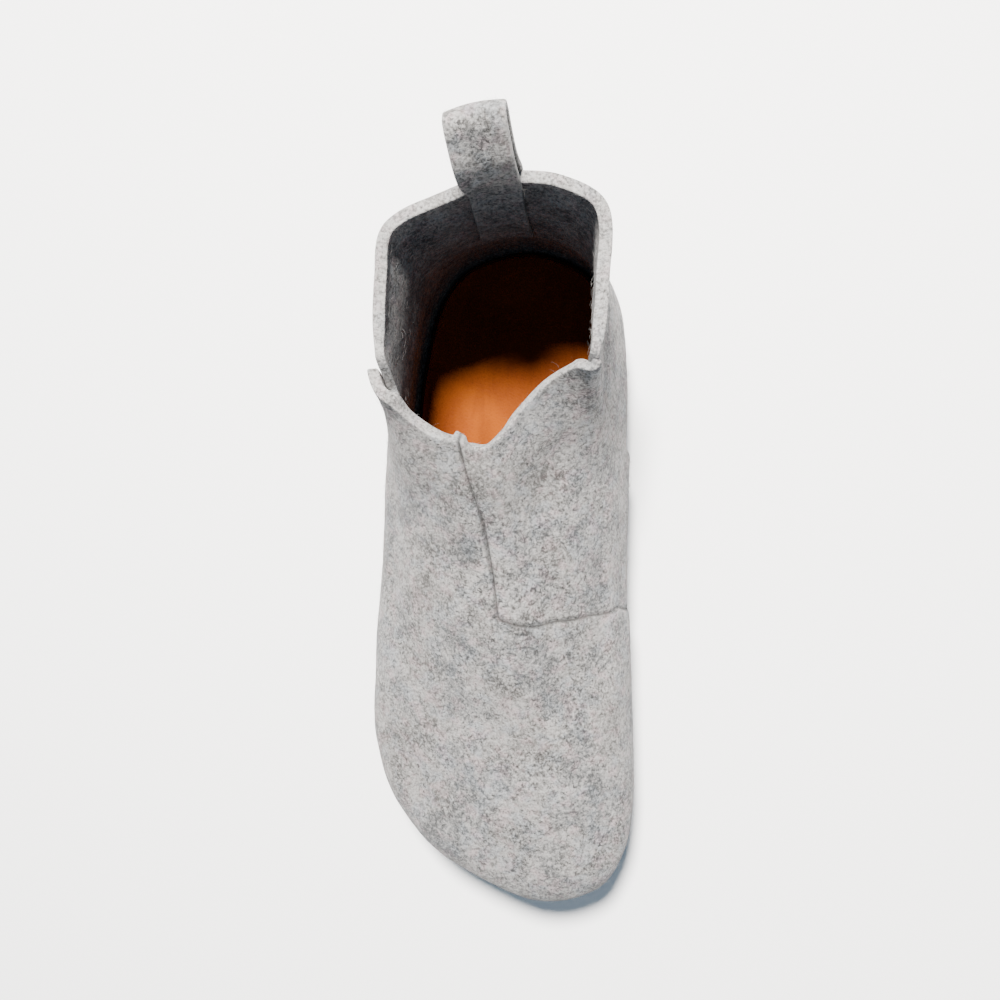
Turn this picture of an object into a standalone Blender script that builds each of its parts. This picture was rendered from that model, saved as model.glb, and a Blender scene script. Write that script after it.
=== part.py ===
"""Felt ankle bootie for the house, right shoe, standing empty on its sole.

Metres, +Z up. The toe points along -Y, the heel along +Y, the big toe's side
is +X. Along is measured from the back of the heel towards the toe, across is
measured from the heel-to-ball line towards the big toe's side, and turn is an
angle round the shoe: 0 at the back, 90 at the outer side, 180 at the toe.
"""
import math
from collections import namedtuple

import bmesh
import bpy
import numpy as np
from mathutils import Matrix

# Sizes of the last and the sole
SOLE_LENGTH = 0.2745
BALL_WIDTH = 0.108
HEEL_STACK = 0.0225
BALL_STACK = 0.0170
TOE_SPRING = 0.0075
HEEL_ROLL = 0.0015
TREAD_THICK = 0.0052
TREAD_STEP = 0.0070
SOLE_LEDGE = 0.0014

# Sizes of the felt upper
FELT = 0.0033
OVERHANG = 0.0005
BULGE = 0.0022
TOE_BOX_RISE = 0.0300
INSTEP_RISE = 0.0640
COLLAR_LENGTH = 0.0895
COLLAR_WIDTH = 0.0790
COLLAR_BACK_HEIGHT = 0.1350
COLLAR_SIDE_HEIGHT = 0.1270
COLLAR_FRONT_HEIGHT = 0.1105
COLLAR_SET_IN = 0.0010
COLLAR_SKEW = 0.0010
FLAP_DROP = 0.0075
FLAP_GAP = 0.0012
FLAP_FREE = 0.0240
SEAM_BITE = 0.0003
SKIVED = 0.30
LAP_STEP = 0.0009

# Sizes of the footbed
BED_THICK = 0.0050
CUP_DEPTH = 0.0065
ARCH_LIFT = 0.0050

# Sizes of the pull loop
LOOP_WIDTH = 0.0200
LOOP_TALL = 0.0345
LOOP_FELT = 0.0024
LOOP_EYE = 0.0058
LOOP_LEAN = 24.0
LOOP_OUTER_LEG = 0.0150
LOOP_STAY_LEG = 0.0420

# Room left between pieces that touch
FIT = 0.0003

# Where the pieces are divided: degrees round the shoe, and shares of the sole's length
FLAP_EDGE = 90.0
UNDERLAP = 12.0
SPRING_START = 0.66
WEDGE_START = 0.22
WEDGE_END = 0.70
ROLL_END = 0.07

# Half the turn over which the collar's back is taken as straight under the loop
LOOP_PROBE = 6.0

# How finely the pieces are divided
TURN_STEP = 4.0
UPPER_ROWS = 15

# Edge of the sole and mouth of the collar at the same turns. Along is a share of
# the sole's or the collar's length, across of the ball's or the collar's width,
# and step of the tread's step in from that edge.
Landmark = namedtuple("Landmark", "turn along across step mouth_along mouth_across")
LANDMARKS = [
    Landmark(0.0, 0.000, 0.000, 1.10, 0.005, 0.030),
    Landmark(22.5, 0.028, -0.245, 0.85, 0.072, -0.190),
    Landmark(45.0, 0.092, -0.372, 0.65, 0.195, -0.452),
    Landmark(67.5, 0.192, -0.426, 0.60, 0.400, -0.492),
    Landmark(90.0, 0.320, -0.452, 0.60, 0.690, -0.494),
    Landmark(112.5, 0.490, -0.480, 0.55, 0.845, -0.420),
    Landmark(135.0, 0.665, -0.502, 0.50, 0.925, -0.325),
    Landmark(150.0, 0.790, -0.484, 0.50, 0.960, -0.235),
    Landmark(162.0, 0.884, -0.374, 0.65, 0.976, -0.172),
    Landmark(172.0, 0.957, -0.160, 0.90, 0.986, -0.132),
    Landmark(180.0, 0.999, 0.130, 1.05, 0.995, -0.095),
    Landmark(190.0, 0.978, 0.388, 0.80, 0.998, -0.015),
    Landmark(200.0, 0.922, 0.486, 0.65, 0.940, 0.070),
    Landmark(212.0, 0.840, 0.508, 0.65, 0.850, 0.145),
    Landmark(225.0, 0.730, 0.487, 0.75, 0.752, 0.235),
    Landmark(247.5, 0.510, 0.432, 1.00, 0.680, 0.365),
    Landmark(270.0, 0.320, 0.407, 1.00, 0.645, 0.468),
    Landmark(292.5, 0.192, 0.392, 1.00, 0.380, 0.492),
    Landmark(315.0, 0.092, 0.348, 1.00, 0.115, 0.482),
    Landmark(337.5, 0.028, 0.235, 1.00, 0.012, 0.290),
]

# The felt's rings from the sole's edge to the collar, in five directions. Way is
# the share of the way in plan from the sole's edge to the collar, rise a share of
# the toe box's or the instep's rise, and swell a share of the felt's bulge.
DIRECTIONS = (0.0, 90.0, 135.0, 162.0, 180.0)
Ring = namedtuple("Ring", "name follows way rise swell")
RINGS = [
    Ring("edge", TOE_BOX_RISE, (0.00, 0.00, 0.00, 0.000, 0.000), (0.00, 0.00, 0.00, 0.00, 0.00),
         (0.00, 0.00, 0.00, 0.00, 0.00)),
    Ring("bulge", TOE_BOX_RISE, (0.00, 0.00, 0.00, 0.000, 0.000), (0.48, 0.52, 0.52, 0.38, 0.33),
         (0.80, 0.60, 0.75, 0.30, 0.00)),
    Ring("shoulder", TOE_BOX_RISE, (0.15, 0.11, 0.050, 0.038, 0.032), (1.02, 1.02, 0.90, 0.74, 0.72),
         (0.40, -0.20, 0.30, 0.10, -0.10)),
    Ring("toe box", TOE_BOX_RISE, (0.30, 0.25, 0.18, 0.180, 0.190), (1.60, 1.55, 1.20, 1.00, 1.03),
         (-0.70, -1.00, 0.00, 0.00, 0.00)),
    Ring("vamp", INSTEP_RISE, (0.50, 0.46, 0.40, 0.420, 0.440), (1.03, 0.94, 0.72, 0.65, 0.65),
         (-1.70, -1.60, -0.20, 0.00, 0.00)),
    Ring("instep", INSTEP_RISE, (0.75, 0.73, 0.69, 0.700, 0.715), (1.40, 1.27, 1.10, 0.98, 0.97),
         (-1.40, -1.30, -0.20, 0.00, 0.00)),
]

# Height of the collar at five turns on each side, between its named heights:
# a share of the way from the side's height to the back's or the front's.
COLLAR_TURNS = (0.0, 45.0, 90.0, 135.0, 180.0)
COLLAR_TO_BACK = (1.00, 0.92, 0.00, 0.00, 0.00)
COLLAR_TO_FRONT = (0.00, 0.00, 0.00, 0.72, 1.00)

# Wall of the midsole from its foot to its rim, and top edge of the tread slab:
# share of the height, share of the flare out to the rim
MIDSOLE_WALL = ((0.00, 0.00), (0.10, 0.22), (0.38, 0.58), (0.72, 0.90), (0.93, 1.00), (1.00, 0.93))

# Footbed's edge above its middle, at seven turns: share of the cup's depth
BED_TURNS = (0.0, 60.0, 120.0, 180.0, 225.0, 260.0, 300.0)
BED_EDGE = (1.00, 0.92, 0.42, 0.25, 0.35, 0.75, 0.95)

# Where the vamp's lap crosses the felt: turn, share of the rise from sole to collar
LAP_LINE = ((180.0, 0.800), (194.0, 0.780), (206.0, 0.747), (218.0, 0.695), (228.0, 0.615), (236.0, 0.440),
            (243.0, 0.150), (247.0, -0.050))

FACTS = {
    "felt": ((0.52, 0.52, 0.53), 0.95),
    "footbed": ((0.55, 0.27, 0.08), 0.60),
    "midsole": ((0.03, 0.03, 0.035), 0.55),
    "tread": ((0.012, 0.012, 0.012), 0.75),
}


def smooth(knots, values, at, period=None):
    """Cubic curve through values at the knots; its slope at a knot follows both neighbours."""
    knots = np.asarray(knots, float)
    values = np.asarray(values, float)
    at = np.asarray(at, float)
    if period:
        at = np.mod(at - knots[0], period) + knots[0]
        knots = np.concatenate([knots[-3:] - period, knots, knots[:3] + period])
        values = np.concatenate([values[-3:], values, values[:3]])
    slope = np.gradient(values, knots, axis=0)
    i = np.clip(np.searchsorted(knots, at, side="right") - 1, 0, len(knots) - 2)
    gap = knots[i + 1] - knots[i]
    t = (at - knots[i]) / gap
    if values.ndim == 2:
        t = t[..., None]
        gap = gap[..., None]
    start = values[i] * (2 * t**3 - 3 * t**2 + 1) + slope[i] * gap * (t**3 - 2 * t**2 + t)
    end = values[i + 1] * (3 * t**2 - 2 * t**3) + slope[i + 1] * gap * (t**3 - t**2)
    return start + end


def ease(value, low, high):
    """0 below low, 1 above high and a soft step between."""
    t = np.clip((value - low) / (high - low), 0.0, 1.0)
    return t * t * (3 - 2 * t)


def on_both_sides(turn):
    """Turn folded onto one side of the shoe: 0 at the back, 180 at the toe."""
    return 180.0 - np.abs(np.mod(turn, 360.0) - 180.0)


def spring(along):
    """Height of the ground line: flat from heel to ball, up at the toe and a little at the heel."""
    share = along / SOLE_LENGTH
    toe = np.clip((share - SPRING_START) / (1 - SPRING_START), 0.0, None)
    heel = np.clip((ROLL_END - share) / ROLL_END, 0.0, None)
    return TOE_SPRING * toe**2 + HEEL_ROLL * heel**2


def stack(along):
    """Height of the midsole's top: a wedge from the heel down to the ball, lifted by the spring."""
    wedge = ease(along / SOLE_LENGTH, WEDGE_START, WEDGE_END)
    return spring(along) + HEEL_STACK + (BALL_STACK - HEEL_STACK) * wedge


def sole_edge(turn, inset=0.0):
    """Edge of the sole at each turn, moved in by inset: columns along and across."""
    turns = [mark.turn for mark in LANDMARKS]
    plan = np.array([(mark.along * SOLE_LENGTH, mark.across * BALL_WIDTH) for mark in LANDMARKS])
    here = smooth(turns, plan, turn, period=360.0)
    return here - outward(turn) * np.asarray(inset)[..., None]


def outward(turn):
    """Unit vector out of the sole's edge, in plan, square to the edge."""
    turns = [mark.turn for mark in LANDMARKS]
    plan = np.array([(mark.along * SOLE_LENGTH, mark.across * BALL_WIDTH) for mark in LANDMARKS])
    ahead = smooth(turns, plan, np.asarray(turn) + 1.0, period=360.0)
    behind = smooth(turns, plan, np.asarray(turn) - 1.0, period=360.0)
    tangent = ahead - behind
    tangent = tangent / np.linalg.norm(tangent, axis=-1, keepdims=True)
    return np.stack([tangent[..., 1], -tangent[..., 0]], axis=-1)


def tread_inset(turn):
    """How far the tread's edge lies inside the sole's edge."""
    turns = [mark.turn for mark in LANDMARKS]
    return smooth(turns, [mark.step * TREAD_STEP for mark in LANDMARKS], turn, period=360.0)


def collar_edge(turn):
    """Outer line of the collar at each turn: columns along and across."""
    turns = [mark.turn for mark in LANDMARKS]
    plan = np.array([(mark.mouth_along * COLLAR_LENGTH + COLLAR_SET_IN,
                      mark.mouth_across * COLLAR_WIDTH + COLLAR_SKEW) for mark in LANDMARKS])
    return smooth(turns, plan, turn, period=360.0)


def collar_height(turn):
    """Height of the collar's top line."""
    side = on_both_sides(turn)
    back = smooth(COLLAR_TURNS, COLLAR_TO_BACK, side)
    front = smooth(COLLAR_TURNS, COLLAR_TO_FRONT, side)
    height = COLLAR_SIDE_HEIGHT + (COLLAR_BACK_HEIGHT - COLLAR_SIDE_HEIGHT) * np.clip(back, 0, None)
    return height + (COLLAR_FRONT_HEIGHT - COLLAR_SIDE_HEIGHT) * np.clip(front, 0, None)


def place(along, across, height):
    """Points in metres from along, across and height, before the shoe is centred."""
    return np.stack([across, SOLE_LENGTH / 2 - along, height], axis=-1)


def felt_face(turn, rise):
    """Outer face of the felt; rise runs from 0 at the sole's edge to 1 at the collar.

    Each ring lies part of the way from the sole's edge to the collar in plan, at its
    own height and swell; a smooth curve joins the rings from the bottom to the top.
    """
    turn, rise = np.broadcast_arrays(np.asarray(turn, float), np.asarray(rise, float))
    side = on_both_sides(turn)
    foot = sole_edge(turn, -OVERHANG)
    mouth = collar_edge(turn)
    out = outward(turn)
    base = stack(foot[..., 0]) + FIT
    rings = []
    for ring in RINGS:
        way = smooth(DIRECTIONS, ring.way, side)[..., None]
        swell = smooth(DIRECTIONS, ring.swell, side)[..., None] * BULGE
        plan = foot + (mouth - foot) * way + out * swell
        height = base + smooth(DIRECTIONS, ring.rise, side) * ring.follows
        rings.append(place(plan[..., 0], plan[..., 1], height))
    rings.append(place(mouth[..., 0], mouth[..., 1], collar_height(turn)))
    return up_the_rings(np.stack(rings), rise)


def up_the_rings(rings, rise):
    """Point at each rise on the smooth curve through that point's own rings."""
    last = len(rings) - 1
    slope = np.gradient(rings, 1.0 / last, axis=0)
    at = np.clip(rise, 0.0, 1.0) * last
    i = np.clip(at.astype(int), 0, last - 1)
    t = (at - i)[..., None]
    low = np.take_along_axis(rings, i[None, ..., None], axis=0)[0]
    high = np.take_along_axis(rings, i[None, ..., None] + 1, axis=0)[0]
    low_slope = np.take_along_axis(slope, i[None, ..., None], axis=0)[0] / last
    high_slope = np.take_along_axis(slope, i[None, ..., None] + 1, axis=0)[0] / last
    start = low * (2 * t**3 - 3 * t**2 + 1) + low_slope * (t**3 - 2 * t**2 + t)
    return start + high * (3 * t**2 - 2 * t**3) + high_slope * (t**3 - t**2)


def felt_normal(turn, rise):
    """Unit vector out of the felt's face, square to it."""
    around = felt_face(turn + 0.5, rise) - felt_face(turn - 0.5, rise)
    up = felt_face(turn, np.minimum(rise + 0.01, 1.0)) - felt_face(turn, np.maximum(rise - 0.01, 0.0))
    normal = np.cross(around, up)
    return normal / np.linalg.norm(normal, axis=-1, keepdims=True)


def lap_line(turn):
    """Rise at which the vamp laps over the inner side's panel."""
    turns, rises = zip(*LAP_LINE)
    return smooth(turns, rises, np.clip(turn, turns[0], turns[-1]))


def panel_step(turn, rise):
    """How far the felt stands proud: the vamp laps over the panel at the inner side."""
    below_lap = 1.0 - ease(rise - lap_line(turn), -0.02, 0.02)
    outer_side = 1.0 - ease(turn, 179.0, 183.0)
    return LAP_STEP * np.maximum(below_lap, outer_side)


def flap_offset(turn, rise):
    """How far the front flap stands off the back quarter that it laps over."""
    from_edge = np.minimum(turn - FLAP_EDGE, 360.0 - FLAP_EDGE - turn)
    lapped = 1.0 - ease(from_edge, UNDERLAP, 2.6 * UNDERLAP)
    lapped = lapped * (SKIVED + (1.0 - SKIVED) * ease(rise, 0.0, 0.35))
    free_share = FLAP_FREE / (COLLAR_SIDE_HEIGHT - stack(0.32 * SOLE_LENGTH))
    free = ease(rise, 1.0 - free_share - 0.05, 1.0 - 0.4 * free_share) * (1.0 - ease(from_edge, 0.0, UNDERLAP))
    return lapped * (FELT - SEAM_BITE) + free * (SEAM_BITE + 1.6 * FLAP_GAP)


def flap_top(turn):
    """Rise of the front flap's top line, lower at its two corners."""
    from_edge = np.minimum(turn - FLAP_EDGE, 360.0 - FLAP_EDGE - turn)
    top_span = (COLLAR_SIDE_HEIGHT - stack(0.32 * SOLE_LENGTH)) * 1.5
    return 1.0 - FLAP_DROP / top_span * (1.0 - ease(from_edge, 0.0, 2.0 * UNDERLAP))


def rim_rows(top):
    """Rises from the sole's edge to the top line, closer together near both ends."""
    share = np.linspace(0.0, 1.0, UPPER_ROWS)
    return (share - 0.07 * np.sin(2 * math.pi * share))[:, None] * top[None, :]


def back_quarter():
    """Outer and inner face of the felt round the heel, a little under the front flap."""
    turn = np.arange(-FLAP_EDGE - UNDERLAP, FLAP_EDGE + UNDERLAP + 0.01, TURN_STEP)
    rise = rim_rows(np.ones_like(turn))
    turn = np.broadcast_to(turn[None, :], rise.shape)
    face = felt_face(turn, rise)
    return face, face - felt_normal(turn, rise) * FELT


def front_flap():
    """Outer and inner face of the felt over the toe, instep and both sides of the front."""
    turn = np.arange(FLAP_EDGE, 360.0 - FLAP_EDGE + 0.01, TURN_STEP)
    rise = rim_rows(flap_top(turn))
    turn = np.broadcast_to(turn[None, :], rise.shape)
    normal = felt_normal(turn, rise)
    lifted = felt_face(turn, rise) + normal * flap_offset(turn, rise)[..., None]
    return lifted + normal * panel_step(turn, rise)[..., None], lifted - normal * FELT


def slab(name, outer, inner):
    """Closed solid between two faces given on the same grid of rows and columns."""
    rows, columns = outer.shape[:2]
    count = rows * columns
    points = np.concatenate([outer.reshape(-1, 3), inner.reshape(-1, 3)])
    index = np.arange(count).reshape(rows, columns)
    a, b, c, d = index[:-1, :-1], index[:-1, 1:], index[1:, 1:], index[1:, :-1]
    faces = [np.stack([a, b, c, d], -1).reshape(-1, 4), np.stack([a, d, c, b], -1).reshape(-1, 4) + count]
    rim = np.concatenate([index[0, :-1], index[:-1, -1], index[-1, :0:-1], index[:0:-1, 0]])
    ahead = np.roll(rim, -1)
    faces.append(np.stack([rim, rim + count, ahead + count, ahead], -1))
    return mesh_object(name, points, np.concatenate(faces).tolist())


def pad(name, rings, top_height, bottom_height, columns):
    """Closed solid inside a stack of rings, bottom first, with a grid across each end.

    A grid joins each point on the outer side with its partner on the inner side; its
    heights come from a function of along, across share and the straight line's height.
    """
    rows, count = rings.shape[:2]
    index = np.arange(rows * count).reshape(rows, count)
    points = [rings.reshape(-1, 3)]
    faces = []
    for low, high in zip(index[:-1], index[1:]):
        low_next = np.roll(low, -1)
        high_next = np.roll(high, -1)
        faces += np.stack([low, high, high_next, low_next], -1).tolist()
    filled = rows * count
    half = count // 2
    across = np.linspace(-1.0, 1.0, columns + 2)
    for ring, height_at, upward in ((rings[-1], top_height, True), (rings[0], bottom_height, False)):
        start = index[-1] if upward else index[0]
        outer = ring[1:half]
        inner = ring[:half:-1]
        share = (across[None, 1:-1, None] + 1) / 2
        inside = outer[:, None] * (1 - share) + inner[:, None] * share
        inside[..., 2] = height_at(inside, np.broadcast_to(across[None, 1:-1], inside.shape[:2]))
        points.append(inside.reshape(-1, 3))
        middle = filled + np.arange((half - 1) * columns).reshape(half - 1, columns)
        filled += (half - 1) * columns
        grid = np.concatenate([start[1:half, None], middle, start[:half:-1, None]], axis=1)
        a, b, c, d = grid[:-1, :-1], grid[1:, :-1], grid[1:, 1:], grid[:-1, 1:]
        quads = np.stack([a, b, c, d], -1).reshape(-1, 4)
        heel = np.stack([np.full(columns + 1, start[0]), grid[0, :-1], grid[0, 1:]], -1)
        toe = np.stack([np.full(columns + 1, start[half]), grid[-1, 1:], grid[-1, :-1]], -1)
        for part in (quads, heel, toe):
            faces += (part if upward else part[:, ::-1]).tolist()
    return mesh_object(name, np.concatenate(points), faces)


def mesh_object(name, points, faces):
    """Named object in the scene, shaded smooth with its hard edges kept."""
    mesh = bpy.data.meshes.new(name)
    mesh.from_pydata(points.tolist(), [], faces)
    shell = bmesh.new()
    shell.from_mesh(mesh)
    bmesh.ops.recalc_face_normals(shell, faces=shell.faces)
    bmesh.ops.triangulate(shell, faces=shell.faces)
    shell.to_mesh(mesh)
    shell.free()
    mesh.shade_smooth()
    mesh.set_sharp_from_angle(angle=math.radians(40))
    piece = bpy.data.objects.new(name, mesh)
    bpy.context.scene.collection.objects.link(piece)
    return piece


def sole_ring(turn, inset, height_at):
    """Ring of points on the sole's edge moved in by inset, at a height that follows along."""
    plan = sole_edge(turn, inset)
    return place(plan[:, 0], plan[:, 1], height_at(plan[:, 0]))


def pad_turns():
    """Turns for the rings of the sole's pieces."""
    return np.arange(0.0, 360.0, TURN_STEP)


def along_of(points):
    """Along of points that are already placed."""
    return SOLE_LENGTH / 2 - points[..., 1]


def make_outsole():
    """Tread slab: flat from heel to ball, one thickness, its lower edge a little rounded."""
    turn = pad_turns()
    inset = tread_inset(turn)
    rounding = 0.2 * TREAD_THICK
    rings = np.stack([
        sole_ring(turn, inset + rounding, spring),
        sole_ring(turn, inset, lambda along: spring(along) + rounding),
        sole_ring(turn, inset, lambda along: spring(along) + TREAD_THICK),
    ])
    top = lambda points, across: spring(along_of(points)) + TREAD_THICK
    bottom = lambda points, across: spring(along_of(points))
    return pad("outsole", rings, top, bottom, 3)


def make_midsole():
    """Wedge between tread and felt, its wall flaring out to the sole's edge."""
    turn = pad_turns()
    foot_inset = tread_inset(turn) - SOLE_LEDGE
    foot_height = lambda along: spring(along) + TREAD_THICK + FIT
    rings = []
    for height, flare in MIDSOLE_WALL:
        level = lambda along, share=height: foot_height(along) * (1 - share) + stack(along) * share
        rings.append(sole_ring(turn, foot_inset * (1 - flare), level))
    top = lambda points, across: stack(along_of(points))
    bottom = lambda points, across: foot_height(along_of(points))
    return pad("midsole", np.stack(rings), top, bottom, 3)


def make_insole():
    """Shaped footbed inside the felt: a cup at the heel, raised edges and an arch."""
    turn = pad_turns()
    inset = FELT - OVERHANG + 3 * FIT
    base = lambda along: stack(along) + FIT
    edge = BED_THICK + CUP_DEPTH * smooth(BED_TURNS, BED_EDGE, turn, period=360.0)
    rings = [sole_ring(turn, inset, base)]
    for share, extra in ((0.86, 0.0), (1.0, 0.0012)):
        ring = sole_ring(turn, inset + extra, base)
        ring[:, 2] += edge * share
        rings.append(ring)

    def bed(points, across):
        """Middle at the bed's thickness, rising to its edges; the arch lifts the inner side."""
        along = along_of(points)
        from_middle = np.abs(across) ** 2.6
        lift = np.interp(along / SOLE_LENGTH, (0.0, 0.25, 0.5, 0.75, 1.0), (0.8, 0.72, 0.45, 0.3, 0.2))
        heel_end = (1 - ease(along, 0.0, 0.12 * SOLE_LENGTH)) * 0.7
        arch = np.exp(-((along / SOLE_LENGTH - 0.42) / 0.13) ** 2) * ease(across, 0.1, 1.0)
        toe_end = ease(along, 0.93 * SOLE_LENGTH, SOLE_LENGTH) * 0.2
        rise = CUP_DEPTH * np.maximum(lift * from_middle, np.maximum(heel_end, toe_end))
        return base(along) + BED_THICK + rise + ARCH_LIFT * 0.35 * arch

    under = lambda points, across: base(along_of(points))
    return pad("insole", np.stack(rings), bed, under, 7)


def make_upper():
    """One hollow felt solid: the front flap laps over the back quarter at both sides."""
    upper = slab("upper", *back_quarter())
    flap = slab("front_flap", *front_flap())
    union = upper.modifiers.new("sewn", "BOOLEAN")
    union.operation = "UNION"
    union.solver = "EXACT"
    union.object = flap
    flap.hide_render = True
    flap.display_type = "WIRE"
    return upper


def make_pull_loop():
    """Folded felt strip that straddles the back of the collar, with a long inner stay leg."""
    width = np.linspace(1.0, -1.0, 5)
    span = COLLAR_BACK_HEIGHT - HEEL_STACK
    inner = -(FELT + FIT + LOOP_FELT / 2)
    outer = FIT + LOOP_FELT / 2
    middle = (inner + outer) / 2
    apart = (outer - inner) / 2
    spread = (LOOP_EYE + LOOP_FELT) / 2
    rows = []
    centre = felt_face(np.array([0.0]), np.array([1.0]))[0]
    ends = felt_face(np.array([LOOP_PROBE, -LOOP_PROBE]), np.ones(2))
    side = ends[1] - ends[0]
    reach = np.linalg.norm(side)
    out = np.cross((0.0, 0.0, 1.0), side / reach)
    turn = width * LOOP_PROBE * LOOP_WIDTH / reach
    for depth in np.linspace(LOOP_STAY_LEG, 0.0, 7):
        rise = np.full_like(turn, 1.0 - depth / span)
        rows.append(felt_face(turn, rise) + felt_normal(turn, rise) * inner)
    top_out = felt_normal(turn, np.ones_like(turn))
    top_edge = felt_face(turn, np.ones_like(turn))
    lean = math.radians(LOOP_LEAN)
    up = np.array([0.0, 0.0, math.cos(lean)]) + out * math.sin(lean)
    across_fold = out * math.cos(lean) - np.array([0.0, 0.0, math.sin(lean)])
    for angle in np.linspace(0.0, math.pi, 17):
        part = -math.cos(angle)
        height = (math.sin(angle) ** 0.75) * LOOP_TALL
        share = height / LOOP_TALL
        wide = apart + (spread - apart) * ease(share, 0.1, 0.6)
        squeeze = np.sign(part) * min(1.0, 1.9 * abs(part)) ** 0.5
        offset = middle + squeeze * wide
        drift = ease(share, 0.0, 0.35)
        base = top_edge.copy()
        base[:, 2] = centre[2]
        direction = top_out * (1 - drift) + across_fold * drift
        direction = direction / np.linalg.norm(direction, axis=-1, keepdims=True)
        if 0 < angle < math.pi:
            rows.append(base + up * height + direction * offset)
    for depth in np.linspace(0.0, LOOP_OUTER_LEG, 4):
        rise = np.full_like(turn, 1.0 - depth / span)
        rows.append(felt_face(turn, rise) + felt_normal(turn, rise) * outer)
    path = np.stack(rows)
    along = np.gradient(path, axis=0)
    over = np.gradient(path, axis=1)
    normal = np.cross(over, along)
    normal = normal / np.linalg.norm(normal, axis=-1, keepdims=True)
    return slab("pull_loop", path + normal * LOOP_FELT / 2, path - normal * LOOP_FELT / 2)


def paint(piece, finish):
    """Give a piece its own material with the finish's colour and roughness."""
    colour, roughness = FACTS[finish]
    material = bpy.data.materials.new(piece.name + "_" + finish)
    material.use_nodes = True
    shader = material.node_tree.nodes["Principled BSDF"]
    shader.inputs["Base Color"].default_value = (*colour, 1.0)
    shader.inputs["Roughness"].default_value = roughness
    piece.data.materials.append(material)


def build():
    """Clear the scene, make the shoe's pieces and centre them on the ground."""
    for old in list(bpy.data.objects):
        bpy.data.objects.remove(old, do_unlink=True)
    paint(make_outsole(), "tread")
    paint(make_midsole(), "midsole")
    paint(make_insole(), "footbed")
    paint(make_upper(), "felt")
    paint(make_pull_loop(), "felt")
    centre_on_ground()


def centre_on_ground():
    """Move every mesh alike, so that the shoe's box stands centred on the origin."""
    meshes = [thing.data for thing in bpy.data.objects]
    corners = [corner.co for mesh in meshes for corner in mesh.vertices]
    low = np.min(corners, axis=0)
    high = np.max(corners, axis=0)
    shift = ((low[0] + high[0]) / 2, (low[1] + high[1]) / 2, low[2])
    for mesh in meshes:
        mesh.transform(Matrix.Translation([-step for step in shift]))


build()
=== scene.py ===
"""Looks of the felt bootie: its felt, seams and loose fibres, its footbed and its rubber.

Metres, +Z up. The toe points along -Y, the heel along +Y, the big toe's side
is +X. Along is measured from the back of the heel towards the toe, across is
measured towards the big toe's side, and turn is an angle round the shoe: 0 at
the back, 90 at the outer side, 180 at the toe. Rise runs from 0 at the sole's
edge to 1 at the collar.
"""
import math
from collections import namedtuple

import bpy
import numpy as np
from mathutils import Matrix, Vector


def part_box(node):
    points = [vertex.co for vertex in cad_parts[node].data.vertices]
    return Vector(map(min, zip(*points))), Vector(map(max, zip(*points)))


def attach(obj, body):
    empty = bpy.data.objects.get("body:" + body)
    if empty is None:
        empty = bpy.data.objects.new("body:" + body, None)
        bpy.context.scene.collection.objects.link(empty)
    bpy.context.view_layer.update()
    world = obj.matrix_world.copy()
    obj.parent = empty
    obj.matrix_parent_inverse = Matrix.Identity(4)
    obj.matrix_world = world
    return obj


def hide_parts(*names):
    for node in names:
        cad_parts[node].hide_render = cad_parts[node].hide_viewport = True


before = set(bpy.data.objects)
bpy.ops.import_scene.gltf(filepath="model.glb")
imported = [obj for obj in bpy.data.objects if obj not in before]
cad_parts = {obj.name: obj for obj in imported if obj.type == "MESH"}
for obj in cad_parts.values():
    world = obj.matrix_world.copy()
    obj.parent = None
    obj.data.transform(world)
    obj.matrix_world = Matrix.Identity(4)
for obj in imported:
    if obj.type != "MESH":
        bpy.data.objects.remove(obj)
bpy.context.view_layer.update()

# Sizes of the last, the sole and the felt
SOLE_LENGTH = 0.2745
BALL_WIDTH = 0.108
HEEL_STACK = 0.0225
BALL_STACK = 0.0170
TOE_SPRING = 0.0075
HEEL_ROLL = 0.0015
TREAD_THICK = 0.0052
TREAD_STEP = 0.0070
SOLE_LEDGE = 0.0014
FELT = 0.0033
OVERHANG = 0.0005
BULGE = 0.0022
TOE_BOX_RISE = 0.0300
INSTEP_RISE = 0.0640
COLLAR_LENGTH = 0.0895
COLLAR_WIDTH = 0.0790
COLLAR_BACK_HEIGHT = 0.1350
COLLAR_SIDE_HEIGHT = 0.1270
COLLAR_FRONT_HEIGHT = 0.1105
COLLAR_SET_IN = 0.0010
COLLAR_SKEW = 0.0010
FLAP_DROP = 0.0075
SEAM_BITE = 0.0003
SKIVED = 0.30
LAP_STEP = 0.0009
BED_THICK = 0.0050
CUP_DEPTH = 0.0065
ARCH_LIFT = 0.0050
LOOP_WIDTH = 0.0200
LOOP_TALL = 0.0312
LOOP_FELT = 0.0024
LOOP_EYE = 0.0058
LOOP_OUTER_LEG = 0.0150
LOOP_STAY_LEG = 0.0420
FIT = 0.0003
FLAP_EDGE = 90.0
UNDERLAP = 12.0
SPRING_START = 0.66
WEDGE_START = 0.22
WEDGE_END = 0.70
ROLL_END = 0.07
LOOP_PROBE = 6.0
FRAME_STEP = 4.0

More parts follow.
